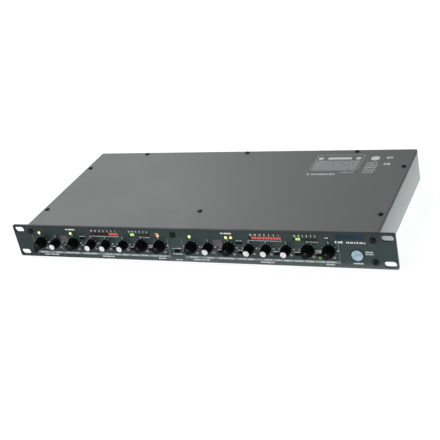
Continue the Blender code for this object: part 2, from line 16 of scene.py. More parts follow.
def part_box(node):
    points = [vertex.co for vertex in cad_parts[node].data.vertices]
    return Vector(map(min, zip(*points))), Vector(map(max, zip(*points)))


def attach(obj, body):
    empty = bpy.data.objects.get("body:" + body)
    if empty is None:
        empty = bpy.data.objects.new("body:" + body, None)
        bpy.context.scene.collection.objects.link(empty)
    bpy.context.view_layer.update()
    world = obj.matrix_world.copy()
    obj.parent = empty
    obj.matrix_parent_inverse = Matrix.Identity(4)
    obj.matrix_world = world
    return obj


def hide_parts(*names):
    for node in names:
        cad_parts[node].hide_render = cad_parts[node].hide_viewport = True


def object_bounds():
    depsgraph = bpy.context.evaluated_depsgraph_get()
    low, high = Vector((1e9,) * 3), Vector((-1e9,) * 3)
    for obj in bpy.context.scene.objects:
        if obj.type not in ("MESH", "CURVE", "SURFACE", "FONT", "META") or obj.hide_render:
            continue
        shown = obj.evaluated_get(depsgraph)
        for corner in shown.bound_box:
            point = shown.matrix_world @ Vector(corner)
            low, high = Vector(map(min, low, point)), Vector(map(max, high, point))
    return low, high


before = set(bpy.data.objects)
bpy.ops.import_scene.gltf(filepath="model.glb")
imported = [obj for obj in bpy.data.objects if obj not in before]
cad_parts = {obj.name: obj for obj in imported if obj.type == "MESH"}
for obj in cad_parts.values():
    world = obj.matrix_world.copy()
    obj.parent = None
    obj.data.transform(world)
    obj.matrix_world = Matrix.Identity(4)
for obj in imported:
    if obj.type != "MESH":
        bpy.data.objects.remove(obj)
cad_low, cad_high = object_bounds()

MM = 0.001

PANEL_LOW, PANEL_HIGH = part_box("front_panel")
COVER_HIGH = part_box("top_cover")[1]
CASE_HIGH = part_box("chassis_tray")[1]
MIDDLE_Z = (PANEL_LOW.z + PANEL_HIGH.z) / 2


def facing(right, up, out, origin):
    """The matrix that takes local X, Y and Z to those directions, from that origin."""
    turn = Matrix((right, up, out)).transposed().to_4x4()
    return Matrix.Translation(origin) @ turn


FRONT = facing((1, 0, 0), (0, 0, 1), (0, -1, 0), (0, PANEL_LOW.y, 0))
REAR = facing((-1, 0, 0), (0, 0, 1), (0, 1, 0), (0, CASE_HIGH.y, 0))
TOP = facing((1, 0, 0), (0, 1, 0), (0, 0, 1), (0, 0, COVER_HIGH.z))

CHANNELS = (1, 2)
SMALL_KNOBS = ("expander_ratio", "compressor_ratio", "compressor_attack", "compressor_release")
BIG_KNOBS = ("expander_threshold", "compressor_threshold", "output_gain", "limiter_threshold")


# ---------------------------------------------------------------- shader graphs
def add(tree, kind, inputs=None, **settings):
    """A shader node; an input given as a socket is linked, any other is set."""
    made = tree.nodes.new(kind)
    for key, value in settings.items():
        setattr(made, key, value)
    for key, value in (inputs or {}).items():
        if isinstance(value, bpy.types.NodeSocket):
            tree.links.new(value, made.inputs[key])
        else:
            made.inputs[key].default_value = value
    return made


def maths(tree, operation, a, b=0.0):
    return add(tree, "ShaderNodeMath", {0: a, 1: b}, operation=operation).outputs[0]


def spread(tree, value, low, high, into_low, into_high):
    """The value's range low to high, taken to another range and held there."""
    inputs = {"Value": value, "From Min": low, "From Max": high, "To Min": into_low, "To Max": into_high}
    return add(tree, "ShaderNodeMapRange", inputs).outputs["Result"]


def blend(tree, share, a, b):
    """Colour a where the share is 0 and colour b where it is 1."""
    made = add(tree, "ShaderNodeMix", data_type="RGBA")
    for socket, value in ((made.inputs[0], share), (made.inputs[6], a), (made.inputs[7], b)):
        if isinstance(value, bpy.types.NodeSocket):
            tree.links.new(value, socket)
        else:
            socket.default_value = (*value, 1.0) if isinstance(value, tuple) else value
    return made.outputs[2]


def places(tree, stretch=(1, 1, 1), shift=(0, 0, 0)):
    """Object coordinates, stretched and shifted."""
    found = add(tree, "ShaderNodeTexCoord").outputs["Object"]
    inputs = {"Vector": found, "Scale": stretch, "Location": shift}
    return add(tree, "ShaderNodeMapping", inputs).outputs["Vector"]


def noise(tree, scale, at, detail=3.0):
    inputs = {"Vector": at, "Scale": scale, "Detail": detail}
    return add(tree, "ShaderNodeTexNoise", inputs).outputs["Fac"]


def edges(tree, width, scale):
    """1 along the piece's rubbed outer edges and 0 elsewhere, broken up by noise."""
    soft = add(tree, "ShaderNodeBevel", {"Radius": width}, samples=4).outputs["Normal"]
    hard = add(tree, "ShaderNodeNewGeometry").outputs["Normal"]
    along = add(tree, "ShaderNodeVectorMath", {0: soft, 1: hard}, operation="DOT_PRODUCT").outputs["Value"]
    edge = spread(tree, along, 0.98, 0.86, 0.0, 1.0)
    patchy = spread(tree, noise(tree, scale, places(tree)), 0.42, 0.62, 0.0, 1.0)
    return maths(tree, "MULTIPLY", edge, patchy)


def blank(name):
    made = bpy.data.materials.new(name)
    made.use_nodes = True
    return made, made.node_tree, made.node_tree.nodes["Principled BSDF"]


def surface(name, base, tint, roughness, metallic=0.0, **look):
    """A finish with mottled colour, uneven gloss, fine grain and, where asked, worn edges.

    mottle and grain are noise scales, stretch draws both out along an axis, bump is the grain's depth,
    uneven is how far roughness swings, worn is the colour of rubbed edges, wear_width their width, and
    wear_scale the noise scale that breaks them up."""
    made, tree, shader = blank(name)
    stretch = look.get("stretch", (1, 1, 1))
    at = places(tree, stretch)
    patches = noise(tree, look.get("mottle", 40), at, 4.0)
    grain = noise(tree, look.get("grain", 1800), at, 2.0)
    colour = blend(tree, spread(tree, patches, 0.3, 0.7, 0.0, 1.0), base, tint)
    swing = look.get("uneven", 0.08)
    rough = spread(tree, maths(tree, "ADD", patches, grain), 0.7, 1.3, roughness - swing, roughness + swing)
    if "worn" in look:
        wear_and_painted_light = edges(tree, look.get("wear_width", 0.35 * MM), look.get("wear_scale", 160))
        colour = blend(tree, wear_and_painted_light, colour, look["worn"])
        rough = maths(tree, "SUBTRACT", rough, maths(tree, "MULTIPLY", wear_and_painted_light, 0.12))
    tree.links.new(colour, shader.inputs["Base Color"])
    tree.links.new(rough, shader.inputs["Roughness"])
    shader.inputs["Metallic"].default_value = metallic
    shader.inputs["Specular IOR Level"].default_value = look.get("specular", 0.5)
    height = {"Height": grain, "Strength": look.get("bump", 0.15), "Distance": 0.05 * MM}
    tree.links.new(add(tree, "ShaderNodeBump", height).outputs["Normal"], shader.inputs["Normal"])
    return made


def layers(made):
    """A finish's node tree and shader, and the colour that further layers go over."""
    tree = made.node_tree
    shader = tree.nodes["Principled BSDF"]
    return tree, shader, shader.inputs["Base Color"].links[0].from_socket


def panel_paint():
    """Dark green-grey paint, with painted shade darkening the top, painted light paling it towards the
    right, and a painted reflection of the floor paling its foot.
    """
    made = surface(
        "panel_paint", (0.007, 0.021, 0.018), (0.013, 0.028, 0.025), 0.42, specular=0.30,
        mottle=30, grain=2000, bump=0.6, worn=(0.12, 0.14, 0.14), wear_width=0.4 * MM, wear_scale=90,
    )
    tree, shader, face = layers(made)
    at = add(tree, "ShaderNodeSeparateXYZ", {0: places(tree)})
    across, height = at.outputs["X"], at.outputs["Z"]
    # Painted shade towards the top, painted light towards the right, and a painted reflection of the floor
    # at the foot, strongest on the right.
    top = spread(tree, height, 29.0 * MM, 42.0 * MM, 0.0, 0.45)
    foot = spread(tree, height, 1.5 * MM, 9.0 * MM, 1.1, 0.0)
    right = spread(tree, across, -200.0 * MM, -20.0 * MM, 0.0, 0.7)
    painted_light_right = blend(tree, right, face, (0.034, 0.061, 0.054))
    shaded = blend(tree, top, painted_light_right, (0.006, 0.012, 0.011))
    wear_and_painted_light = blend(tree, maths(tree, "MULTIPLY", foot, right), shaded, (0.112, 0.125, 0.127))
    tree.links.new(wear_and_painted_light, shader.inputs["Base Color"])
    return made


def zinc_plate():
    """Zinc-plated sheet with a rolled grain, with painted shade deepening upwards and a painted shadow along
    the sides' upper edge, under the cover's seam.
    """
    made = surface(
        "zinc_plate", (0.35, 0.40, 0.385), (0.46, 0.51, 0.495), 0.42, metallic=0.35,
        mottle=60, grain=1500, stretch=(0.07, 0.07, 1), bump=0.22, uneven=0.11,
        worn=(0.60, 0.63, 0.63), wear_scale=120,
    )
    tree, shader, face = layers(made)
    height = add(tree, "ShaderNodeSeparateXYZ", {0: places(tree)}).outputs["Z"]
    normal = add(tree, "ShaderNodeNewGeometry").outputs["True Normal"]
    sideways = maths(tree, "ABSOLUTE", add(tree, "ShaderNodeSeparateXYZ", {0: normal}).outputs["X"])
    # Painted shade darkens the sheet towards the top, under the cover's lip, and a narrow painted shadow
    # runs along the sides' upper edge.
    painted_lip_shade = blend(tree, spread(tree, height, 4.0 * MM, 38.0 * MM, 0.05, 0.52), face, (0.11, 0.13, 0.13))
    strip = spread(tree, height, 37.7 * MM, 38.0 * MM, 0.0, 1.0)
    strip = maths(tree, "MULTIPLY", strip, spread(tree, sideways, 0.3, 0.6, 0.0, 1.0))
    tree.links.new(blend(tree, strip, painted_lip_shade, (0.010, 0.012, 0.012)), shader.inputs["Base Color"])
    return made


def cover_paint():
    """Fine-textured grey powder coat, with painted shade making the upright faces round the cover's edges
    dark.
    """
    made = surface(
        "cover_paint", (0.150, 0.158, 0.155), (0.172, 0.177, 0.177), 0.5,
        mottle=14, grain=2000, bump=0.7, uneven=0.06,
    )
    tree, shader, face = layers(made)
    normal = add(tree, "ShaderNodeNewGeometry").outputs["True Normal"]
    upright = add(tree, "ShaderNodeSeparateXYZ", {0: normal}).outputs["Z"]
    # Painted shade: the cover's upright edge faces are darkened almost to black.
    edge = spread(tree, maths(tree, "ABSOLUTE", upright), 0.75, 0.97, 1.0, 0.0)
    tree.links.new(blend(tree, edge, face, (0.008, 0.010, 0.010)), shader.inputs["Base Color"])
    return made


HEART_SCALE = 420.0  # a lit lamp's hot core fades out at one over this, 2.4 mm from its middle


def lamp(name, dark, core, halo, strength):
    """A moulded LED lens: an even dark body if it is off, and a hot core in a coloured rim if it is lit."""
    made, tree, shader = blank(name)
    at = places(tree, (HEART_SCALE,) * 3)
    ball = add(tree, "ShaderNodeTexGradient", {"Vector": at}, gradient_type="SPHERICAL")
    heart = ball.outputs["Fac"]
    cloudy = noise(tree, 900, places(tree), 2.0)
    tint = tuple(0.6 * part for part in dark)
    tree.links.new(blend(tree, cloudy, dark, tint), shader.inputs["Base Color"])
    tree.links.new(spread(tree, cloudy, 0.3, 0.7, 0.12, 0.28), shader.inputs["Roughness"])
    shader.inputs["IOR"].default_value = 1.5
    if strength:
        tree.links.new(blend(tree, heart, halo, core), shader.inputs["Emission Color"])
        glow = spread(tree, heart, 0.0, 0.7, 0.4 * strength, strength)
        tree.links.new(glow, shader.inputs["Emission Strength"])
    return made


def bar_lamp(name, dark, lit, strength, pitch):
    """A meter segment: brighter in its middle if lit, a dim tinted window if not."""
    made, tree, shader = blank(name)
    across = add(tree, "ShaderNodeSeparateXYZ", {0: places(tree)}).outputs["X"]
    wave = add(tree, "ShaderNodeMath", {0: across, 1: pitch / 2}, operation="PINGPONG").outputs[0]
    middle = spread(tree, wave, 0.0, pitch / 2, 0.0, 1.0)
    cloudy = noise(tree, 700, places(tree), 2.0)
    tint = tuple(0.5 * part for part in dark)
    tree.links.new(blend(tree, cloudy, dark, tint), shader.inputs["Base Color"])
    tree.links.new(spread(tree, cloudy, 0.3, 0.7, 0.2, 0.34), shader.inputs["Roughness"])
    shader.inputs["Specular IOR Level"].default_value = 0.2
    if strength:
        hot = tuple(min(1.0, part + 0.10) for part in lit)
        tree.links.new(blend(tree, middle, lit, hot), shader.inputs["Emission Color"])
        glow = spread(tree, middle, 0.0, 1.0, 0.55 * strength, 1.25 * strength)
        tree.links.new(glow, shader.inputs["Emission Strength"])
    return made


def solder_mask():
    """Green board lacquer over copper tracks."""
    made = surface("solder_mask", (0.015, 0.11, 0.05), (0.03, 0.17, 0.08), 0.35, mottle=120, grain=3000)
    tree, shader, face = layers(made)
    tracks = add(tree, "ShaderNodeTexBrick", {"Vector": places(tree), "Scale": 160.0, "Mortar Size": 0.06})
    copper = blend(tree, spread(tree, tracks.outputs["Fac"], 0.3, 0.8, 0.0, 1.0), face, (0.05, 0.28, 0.10))
    tree.links.new(copper, shader.inputs["Base Color"])
    return made


TAPE_TURNS = 64.0


def taped_winding(middle):
    """Yellow tape wound round a ring, each turn a shallow ridge."""
    made = surface("taped_winding", (0.50, 0.33, 0.07), (0.62, 0.43, 0.12), 0.4, mottle=90, grain=1500)
    tree, shader, face = layers(made)
    at = places(tree, shift=tuple(-part for part in middle))
    sweep = add(tree, "ShaderNodeTexGradient", {"Vector": at}, gradient_type="RADIAL").outputs["Fac"]
    turns = maths(tree, "FRACT", maths(tree, "MULTIPLY", sweep, TAPE_TURNS))
    lap = {"Height": turns, "Strength": 0.8, "Distance": 0.3 * MM}
    tree.links.new(add(tree, "ShaderNodeBump", lap).outputs["Normal"], shader.inputs["Normal"])
    shade = blend(tree, spread(tree, turns, 0.0, 0.12, 1.0, 0.0), face, (0.24, 0.15, 0.03))
    tree.links.new(shade, shader.inputs["Base Color"])
    return made


BLACK = dict(mottle=90, grain=2200, bump=0.22, uneven=0.07)
PANEL_PAINT = panel_paint()
COVER_PAINT = cover_paint()
ZINC = zinc_plate()
KNOB_PLASTIC = surface(
    "knob_plastic", (0.0018, 0.0020, 0.0020), (0.0032, 0.0036, 0.0036), 0.45, specular=0.07,
    worn=(0.020, 0.022, 0.022), wear_width=0.25 * MM, wear_scale=220, **BLACK,
)
KNOB_FACE = surface(
    "knob_face", (0.0045, 0.0085, 0.0080), (0.0080, 0.0125, 0.0120), 0.5, specular=0.08,
    mottle=260, grain=2600, bump=0.3, uneven=0.06,
)
POINTER = surface("pointer_inlay", (0.10, 0.12, 0.12), (0.14, 0.16, 0.16), 0.45, mottle=500, grain=2600)
CAP_PLASTIC = surface(
    "cap_plastic", (0.76, 0.78, 0.775), (0.82, 0.83, 0.825), 0.38,
    mottle=300, grain=1600, bump=0.12, uneven=0.06, worn=(0.66, 0.67, 0.66), wear_scale=260,
)
BUTTON_PLASTIC = surface(
    "button_plastic", (0.003, 0.004, 0.004), (0.005, 0.006, 0.006), 0.5, specular=0.08,
    worn=(0.02, 0.023, 0.023), wear_scale=260, **BLACK,
)
SOCKET_PLASTIC = surface(
    "socket_plastic", (0.012, 0.012, 0.013), (0.020, 0.020, 0.021), 0.5,
    worn=(0.05, 0.05, 0.052), wear_scale=180, **BLACK,
)
BLACK_OXIDE = surface(
    "black_oxide", (0.006, 0.008, 0.008), (0.014, 0.016, 0.016), 0.40, metallic=0.3, specular=0.25,
    mottle=300, grain=1900, bump=0.2, worn=(0.12, 0.125, 0.125), wear_width=0.2 * MM, wear_scale=420,
)
NICKEL = surface(
    "bright_nickel", (0.60, 0.59, 0.56), (0.72, 0.71, 0.69), 0.26, metallic=1.0,
    mottle=160, grain=2400, bump=0.12, uneven=0.1,
)
TIN = surface(
    "tinned_brass", (0.64, 0.64, 0.62), (0.78, 0.77, 0.74), 0.36, metallic=0.55,
    mottle=240, grain=900, stretch=(1, 0.2, 1), bump=0.05, uneven=0.08,
)
METER_WINDOW = surface(
    "meter_window", (0.008, 0.002, 0.002), (0.014, 0.004, 0.004), 0.30, specular=0.2,
    mottle=140, grain=1800, bump=0.08,
)
INK = surface("light_ink", (0.62, 0.67, 0.67), (0.78, 0.83, 0.83), 0.55, mottle=420, grain=2600, bump=0.3)
BRIGHT_INK = surface("white_ink", (0.80, 0.83, 0.83), (0.90, 0.92, 0.92), 0.5, mottle=420, grain=2600)
BAND_INK = surface("band_ink", (0.18, 0.21, 0.215), (0.26, 0.29, 0.30), 0.55, mottle=240, grain=2600)
ROSE_INK = surface("rose_ink", (0.22, 0.16, 0.18), (0.30, 0.22, 0.24), 0.55, mottle=300, grain=2600)
BLUE_INK = surface(
    "blue_ink", (0.008, 0.028, 0.046), (0.014, 0.038, 0.060), 0.5, specular=0.2, mottle=60, grain=2600
)
COVER_INK = surface("cover_ink", (0.64, 0.67, 0.67), (0.78, 0.80, 0.80), 0.6, mottle=300, grain=2600)
ENAMEL = surface(
    "badge_enamel", (0.22, 0.36, 0.46), (0.50, 0.62, 0.70), 0.28,
    mottle=150, grain=1500, bump=0.06, uneven=0.05,
)

LAMPS = {
    "green": lamp("led_green_lit", (0.10, 0.22, 0.03), (1.0, 1.0, 0.72), (0.30, 0.60, 0.04), 2.4),
    "amber": lamp("led_amber_lit", (0.30, 0.12, 0.02), (1.0, 0.86, 0.45), (0.95, 0.42, 0.08), 2.2),
    "orange": lamp("led_orange_lit", (0.30, 0.10, 0.03), (1.0, 0.66, 0.42), (0.85, 0.26, 0.08), 1.8),
    "leaf": lamp("led_leaf_lit", (0.06, 0.16, 0.02), (0.50, 0.85, 0.25), (0.12, 0.30, 0.03), 0.5),
    "off": lamp("led_off", (0.016, 0.013, 0.012), None, None, 0.0),
}


# ---------------------------------------------------------------- mesh tools
def ring_loft(bm, levels, steps=48, at=(0.0, 0.0)):
    """Adds one closed round body: (radius, height) rings from its back to its front, in order.

    A radius may be a function of the turn, for flutes, hexagons and recesses. A level may carry a
    third value, the material slot of the band that follows it."""
    rings = []
    for radius, height, *_ in levels:
        ring = []
        for i in range(steps):
            turn = 2 * math.pi * i / steps
            r = radius(turn) if callable(radius) else radius
            ring.append(bm.verts.new((at[0] + r * math.cos(turn), at[1] + r * math.sin(turn), height)))
        rings.append(ring)
    slot = 0
    bm.faces.new(rings[0][::-1])
    for level, lower, upper in zip(levels, rings, rings[1:]):
        slot = level[2] if len(level) > 2 else slot
        for i in range(steps):
            j = (i + 1) % steps
            bm.faces.new((lower[i], lower[j], upper[j], upper[i])).material_index = slot
    slot = levels[-1][2] if len(levels[-1]) > 2 else slot
    bm.faces.new(rings[-1]).material_index = slot


def fluted(radius, depth, count):
    """A round outline with shallow hollows for the fingers."""
    return lambda turn: radius - depth * (0.5 + 0.5 * math.cos(count * turn)) ** 2


def cross(arm, half):
    """A cross recess: four arms of that length and half width."""
    def outline(turn):
        c, s = max(abs(math.cos(turn)), 1e-6), max(abs(math.sin(turn)), 1e-6)
        return max(min(arm / c, half / s), min(arm / s, half / c))
    return outline


def polygon(sides, radius):
    """A regular polygon of that radius to its corners."""
    def outline(turn):
        step = 2 * math.pi / sides
        return radius * math.cos(step / 2) / math.cos(turn % step - step / 2)
    return outline


def slab(width, height, corner):
    """A rectangle with round corners."""
    half_x, half_y = width / 2, height / 2
    inner = Vector((half_x - corner, half_y - corner))

    def outline(turn):
        ray = Vector((abs(math.cos(turn)), abs(math.sin(turn))))
        if ray.y * half_x <= inner.y * ray.x:
            return half_x / ray.x
        if ray.x * half_y <= inner.x * ray.y:
            return half_y / ray.y
        along = ray.dot(inner)
        return along + math.sqrt(along**2 - inner.length_squared + corner**2)
    return outline


def block(bm, low, high, slot=0):
    """A box between two corners."""
    low, high = Vector(low), Vector(high)
    shape = Matrix.Translation((low + high) / 2) @ Matrix.Diagonal((*(high - low), 1.0))
    made = bmesh.ops.create_cube(bm, size=1.0, matrix=shape)["verts"]
    for face in {f for v in made for f in v.link_faces}:
        face.material_index = slot
    return made


def piece(name, bm, body, materials, at, round_edges=0.0):
    """The bmesh as a named piece in place, riding on a body and taking the finishes that it is given."""
    bmesh.ops.recalc_face_normals(bm, faces=bm.faces)
    mesh = bpy.data.meshes.new(name)
    bm.to_mesh(mesh)
    bm.free()
    for each in materials:
        mesh.materials.append(each)
    mesh.shade_smooth()
    mesh.set_sharp_from_angle(angle=math.radians(32))
    made = bpy.data.objects.new(name, mesh)
    bpy.context.scene.collection.objects.link(made)
    made.matrix_world = at
    if round_edges:
        bevel_edges(made, round_edges)
    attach(made, body)
    return made


def bevel_edges(obj, width, segments=2):
    """Rounds the sharp edges, once vertices that share a place are one."""
    weld = obj.modifiers.new("weld", "WELD")
    weld.merge_threshold = 0.001 * MM
    bevel = obj.modifiers.new("round_edges", "BEVEL")
    bevel.width = width
    bevel.segments = segments
    bevel.limit_method = "ANGLE"
    bevel.angle_limit = math.radians(40)
    bevel.use_clamp_overlap = False


def dress(node, material, round_edges=0.0):
    """A better finish on a CAD node, whose shape stays."""
    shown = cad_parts[node]
    if not shown.material_slots:
        shown.data.materials.append(material)
    for slot in shown.material_slots:
        slot.material = material
    if round_edges:
        bevel_edges(shown, round_edges)


def centre(node):
    low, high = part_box(node)
    return (low + high) / 2


# ---------------------------------------------------------------- shells
def shells():
    dress("front_panel", PANEL_PAINT, 0.3 * MM)
    dress("chassis_tray", ZINC, 0.25 * MM)
    dress("top_cover", COVER_PAINT, 0.5 * MM)
    dress("mains_inlet", SOCKET_PLASTIC, 0.25 * MM)
    dress("power_rocker", BUTTON_PLASTIC, 0.3 * MM)
    lacquer = solder_mask()
    dress("control_board", lacquer)
    dress("main_board", lacquer)
    dress("toroidal_transformer", taped_winding(centre("toroidal_transformer")), 0.4 * MM)


# ---------------------------------------------------------------- screws
def screw_body(bm, head, tall, shank, back, at=(0.0, 0.0)):
    """A pan-head screw with a cross recess, its seat at height 0."""
    seat = 0.02 * MM
    levels = [
        (shank, -back),
        (shank, seat),
        (0.96 * head, seat),
        (head, seat + 0.12 * tall),
        (head, 0.40 * tall),
        (0.93 * head, 0.66 * tall),
        (0.80 * head, 0.86 * tall),
        (0.60 * head, 0.98 * tall),
        (cross(0.50 * head, 0.13 * head), tall),
        (cross(0.48 * head, 0.12 * head), 0.93 * tall),
        (cross(0.24 * head, 0.09 * head), 0.40 * tall),
    ]
    ring_loft(bm, levels, 64, at)


LOW_HEAD = 0.75  # the cover's screw heads are this share of their CAD height


def screws():
    """The panel's and the cover's screws, each in place of its CAD node."""
    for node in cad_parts:
        if "_screw_" not in node:
            continue
        low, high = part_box(node)
        middle = (low + high) / 2
        head = (high.x - low.x) / 2
        if node.startswith("panel_"):
            tall = PANEL_LOW.y - low.y
            back = high.y - PANEL_LOW.y
            place = FRONT @ Matrix.Translation((middle.x, middle.z, 0))
        else:
            tall = LOW_HEAD * (high.z - COVER_HIGH.z)
            back = COVER_HIGH.z - low.z
            place = TOP @ Matrix.Translation((middle.x, middle.y, 0))
        bm = bmesh.new()
        screw_body(bm, head, tall, 0.45 * head, back)
        made = piece(f"{node}_head", bm, "case", [BLACK_OXIDE], place)
        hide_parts(node)


# ---------------------------------------------------------------- controls
def knob_moulding(base, tip, tall, behind, flutes):
    """A tapered, fluted knob on its spindle. Slots: 0 body, 1 its sunk face, 2 spindle, 3 pointer."""
    gap, skirt, chamfer = 0.5 * MM, 2.7 * MM, 0.6 * MM
    grip_foot, spindle = 3.2 * MM, 3.0 * MM
    slope = (base - tip) / (tall - chamfer - grip_foot)

    def grip(height):
        return base - slope * (height - grip_foot)

    first, last = skirt + 0.9 * MM, tall - chamfer
    levels = [
        (spindle, -behind, 2),
        (spindle, gap, 0),
        (base - 0.3 * MM, gap),
        (base, gap + 0.3 * MM),
        (base, skirt - 0.2 * MM),
        (base - 0.25 * MM, skirt),
        (grip(skirt) - 0.55 * MM, skirt + 0.15 * MM),
        (fluted(grip(first) - 0.25 * MM, 0.15 * MM, flutes), first - 0.3 * MM),
        (fluted(grip(first), 0.42 * MM, flutes), first + 0.3 * MM),
        (fluted(grip(last), 0.42 * MM, flutes), last),
        (fluted(tip - 0.35 * MM, 0.15 * MM, flutes), tall - 0.1 * MM),
        (tip - 0.6 * MM, tall),
        (tip - 0.95 * MM, tall),
        (tip - 1.10 * MM, tall - 0.35 * MM, 1),
    ]
    bm = bmesh.new()
    ring_loft(bm, levels, 4 * flutes)
    return bm


def knobs():
    """Fluted knobs; the small ones carry a white domed cap."""
    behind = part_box("ch1_output_gain_knob")[1].y - PANEL_LOW.y
    for channel in CHANNELS:
        for name in BIG_KNOBS + SMALL_KNOBS:
            node, body = f"ch{channel}_{name}_knob", f"ch{channel}_{name}"
            low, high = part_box(node)
            at = FRONT @ Matrix.Translation((centre(node).x, centre(node).z, 0))
            base = (high.z - low.z) / 2
            tall = PANEL_LOW.y - low.y
            small = name in SMALL_KNOBS
            taper, flutes = (1.2 * MM, 18) if small else (2.7 * MM, 22)
            tip = base - taper
            bm = knob_moulding(base, tip, tall, behind, flutes)
            if not small:  # a thin inlay across the face, out to its rim, shows where the knob points
                inlay_end = (0.25 * MM, tip - 0.5 * MM, tall - 0.05 * MM)
                block(bm, (-0.25 * MM, 1.2 * MM, tall - 0.6 * MM), inlay_end, 3)
            finishes = [KNOB_PLASTIC, KNOB_FACE, ZINC, POINTER]
            made = piece(f"{node}_moulding", bm, body, finishes, at)
            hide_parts(node)
            if small:
                white_cap(node, body, tip, tall, at)


def white_cap(node, body, tip, tall, at):
    """A white disc with a soft dome and a pointer line, pressed into a small knob's face."""
    edge = tip - 0.80 * MM
    levels = [
        (edge - 0.1 * MM, tall - 0.9 * MM),
        (edge, tall - 0.6 * MM),
        (edge, tall - 0.35 * MM),
        (edge - 0.12 * MM, tall - 0.16 * MM),
        (edge - 0.45 * MM, tall - 0.05 * MM),
        (0.6 * edge, tall - 0.02 * MM),
        (0.25 * edge, tall),
    ]
    bm = bmesh.new()
    ring_loft(bm, levels, 48)
    line_end = (0.2 * MM, edge - 0.3 * MM, tall + 0.01 * MM)
    block(bm, (-0.2 * MM, 0.45 * edge, tall - 0.3 * MM), line_end, 1)
    piece(f"{node}_cap", bm, body, [CAP_PLASTIC, POINTER], at)


def buttons():
    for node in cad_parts:
        if node.endswith("_button"):
            dress(node, BUTTON_PLASTIC, 0.35 * MM)


# Each channel's round lamps: the control that they stand by, X and Z from its centre, and what each shows.
LED_SPOTS = (
    ("expander_threshold_knob", -0.3 * MM, 13.1 * MM, {1: "green", 2: "green"}),
    ("compressor_threshold_knob", -1.5 * MM, 13.1 * MM, {1: "green", 2: "green"}),
    ("compressor_threshold_knob", 4.7 * MM, 13.1 * MM, {1: "off", 2: "amber"}),
    ("limiter_threshold_knob", 0.0, 13.1 * MM, {1: "orange", 2: "off"}),
    ("bypass_button", 0.0, -4.3 * MM, {1: "off", 2: "leaf"}),
)


def leds():
    """Domed lenses over the control board's round lamps."""
    radius, proud, behind = 1.58 * MM, 1.15 * MM, 2.5 * MM
    slopes = (0.0, 0.35, 0.7, 1.0, 1.25, 1.45)
    for channel in CHANNELS:
        for place, (control, dx, dz, shows) in enumerate(LED_SPOTS, 1):
            beside = centre(f"ch{channel}_{control}")
            dome = [(radius * math.cos(t), proud * math.sin(t)) for t in slopes]
            bm = bmesh.new()
            ring_loft(bm, [(radius, -behind)] + dome, 32)
            at = FRONT @ Matrix.Translation((beside.x + dx, beside.z + dz, 0))
            piece(f"ch{channel}_led_{place}", bm, "case", [LAMPS[shows[channel]]], at)


METER_RIM = 1.0 * MM  # how far the body behind the panel reaches past the window, on each side
GAIN_BARS, LEVEL_BARS = 12, 10
LIT_FROM = {1: 8, 2: 1}  # the first lit bar of each channel's gain meter, counted from 0
GREEN_OFF, AMBER_OFF, RED_OFF, GREEN_LIT = range(4)  # the level meter's material slots


def window(node):
    """Centre X and Z, width and height of a meter's window in the panel."""
    low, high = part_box(node)
    middle = (low + high) / 2
    return middle.x, middle.z, high.x - low.x - 2 * METER_RIM, high.z - low.z - 2 * METER_RIM


def meter_bars(node, count, materials, slot_of):
    """The row of bars behind a meter's window, one closed block each."""
    dress(node, METER_WINDOW)
    x, z, width, height = window(node)
    pitch = width / count
    inset, half = 0.05 * pitch, 0.44 * height
    bm = bmesh.new()
    for i in range(count):
        low = (i * pitch + inset, -half, -0.5 * MM)
        block(bm, low, ((i + 1) * pitch - inset, half, -0.06 * MM), slot_of(i))
    at = FRONT @ Matrix.Translation((x - width / 2, z, 0))
    piece(f"{node}_bars", bm, "case", materials, at, 0.12 * MM)


def meters():
    gain_pitch = window("ch1_gain_meter")[2] / GAIN_BARS
    level_pitch = window("ch1_level_meter")[2] / LEVEL_BARS
    red_off = bar_lamp("bar_red_off", (0.034, 0.006, 0.005), None, 0.0, gain_pitch)
    red = bar_lamp("bar_red_lit", (0.20, 0.02, 0.02), (0.62, 0.075, 0.060), 0.74, gain_pitch)
    lamps = [
        bar_lamp("bar_green_off", (0.012, 0.045, 0.014), None, 0.0, level_pitch),
        bar_lamp("bar_amber_off", (0.050, 0.034, 0.008), None, 0.0, level_pitch),
        bar_lamp("bar_red_dim", (0.060, 0.008, 0.008), None, 0.0, level_pitch),
        bar_lamp("bar_green_lit", (0.10, 0.30, 0.04), (0.42, 0.86, 0.20), 1.0, level_pitch),
    ]
    for channel in CHANNELS:
        start = LIT_FROM[channel]
        meter_bars(f"ch{channel}_gain_meter", GAIN_BARS, [red_off, red], lambda i, s=start: int(i >= s))
        meter_bars(f"ch{channel}_level_meter", LEVEL_BARS, lamps, level_colour)


def level_colour(i):
    """A level bar's slot: the second and third are lit, two near the end are amber and the last is red."""
    if i in (1, 2):
        return GREEN_LIT
    if i == LEVEL_BARS - 1:
        return RED_OFF
    return AMBER_OFF if i >= LEVEL_BARS - 3 else GREEN_OFF


# ---------------------------------------------------------------- print
INK_LOW, INK_HIGH = -0.01 * MM, 0.04 * MM
UNDER = Matrix.Translation((0, 0, -0.02 * MM))  # sinks an ink that others are printed over
BAND_Z, SECTION_Z = 6.7 * MM, 3.6 * MM  # heights of the legend band and of the section names under it
glyphs = {}


def bar(bm, x, y, width, height, turn=0.0):
    """A flat printed bar about its centre, turned clockwise by that angle."""
    made = block(bm, (-width / 2, -height / 2, INK_LOW), (width / 2, height / 2, INK_HIGH))
    spin = Matrix.Translation((x, y, 0)) @ Matrix.Rotation(-turn, 4, "Z")
    bmesh.ops.transform(bm, matrix=spin, verts=made)


def frame_lines(bm, x0, x1, y0, y1, line):
    """The outline of a printed box."""
    for y in (y0, y1):
        bar(bm, (x0 + x1) / 2, y, x1 - x0, line)
    for x in (x0, x1):
        bar(bm, x, (y0 + y1) / 2, line, y1 - y0 - line)


def disc(bm, x, y, radius, steps=20):
    ring_loft(bm, [(radius, INK_LOW), (radius, INK_HIGH)], steps, (x, y))


